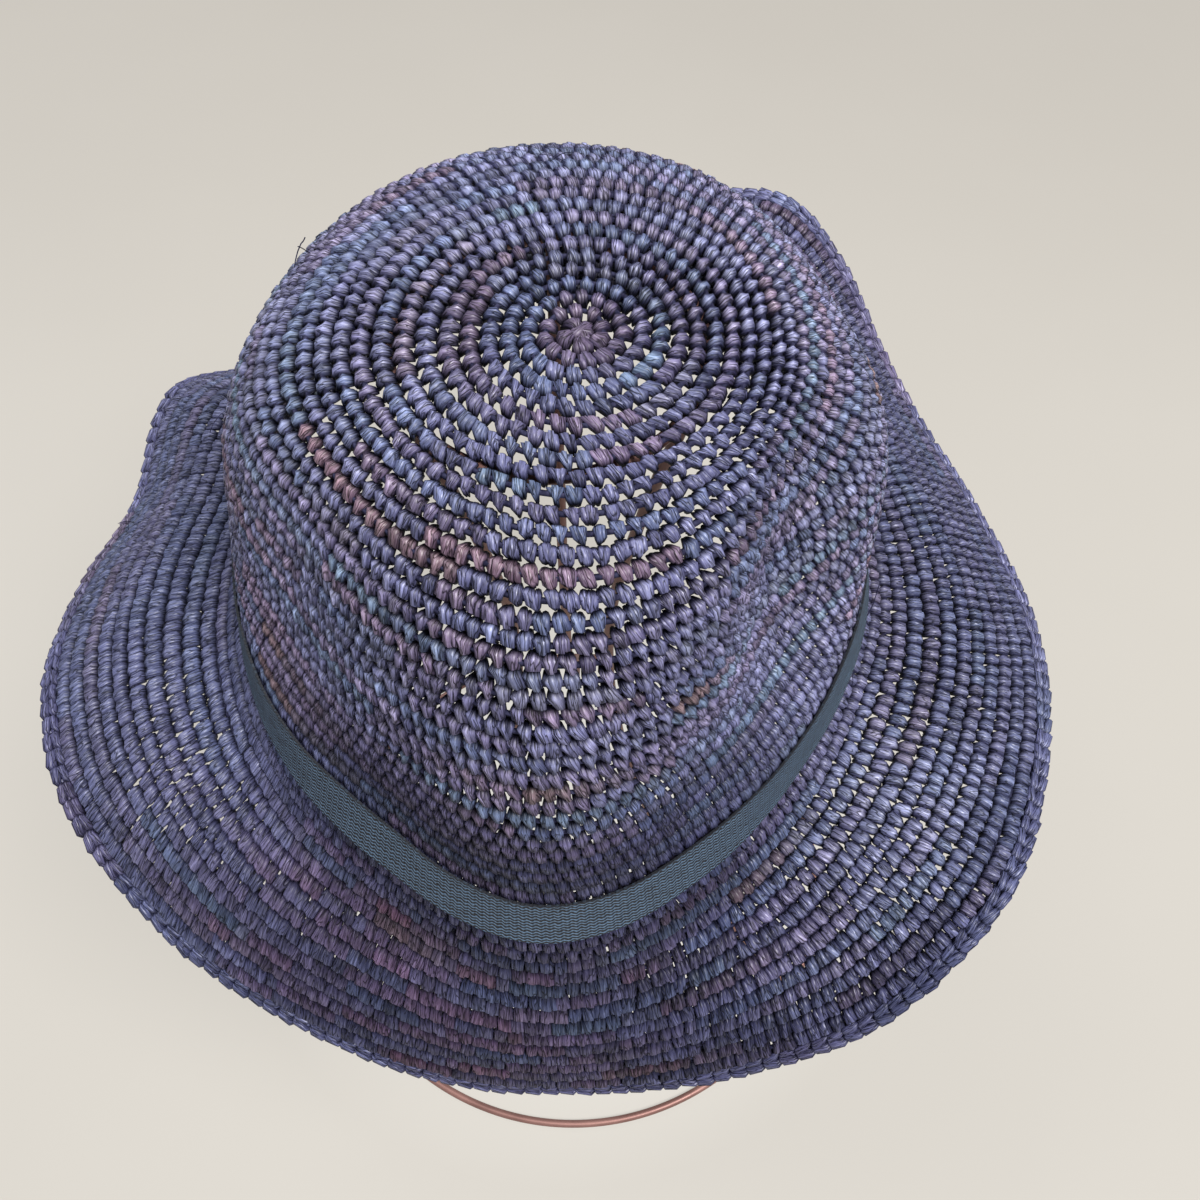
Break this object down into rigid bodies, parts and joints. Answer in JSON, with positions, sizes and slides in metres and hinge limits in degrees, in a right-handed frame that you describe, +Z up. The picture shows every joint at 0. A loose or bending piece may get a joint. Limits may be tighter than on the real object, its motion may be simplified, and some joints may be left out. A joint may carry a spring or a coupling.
{
  "type": "straw hat on a wire stand",
  "caption": "Crocheted straw hat with a dented round crown, a grosgrain ribbon and a rippled turned-down brim, resting on a bent wire stand.",
  "frame": {"origin": "middle of the object's box on the floor, under the crown", "axes": "+Z up, the wearer's face towards -Y, +X to the viewer's right"},
  "size_m": [0.3138, 0.2988, 0.3719],
  "materials": {
    "straw": "dyed raffia, crocheted, faint sheen",
    "ribbon": "matte grosgrain",
    "wire": "satin copper"
  },
  "bodies": {
    "root": {"crown": "straw", "brim": "straw", "edge_round": "straw", "ribbon": "ribbon", "ribbon_join": "ribbon", "wire_stand": "wire"}
  },
  "joints": []
}
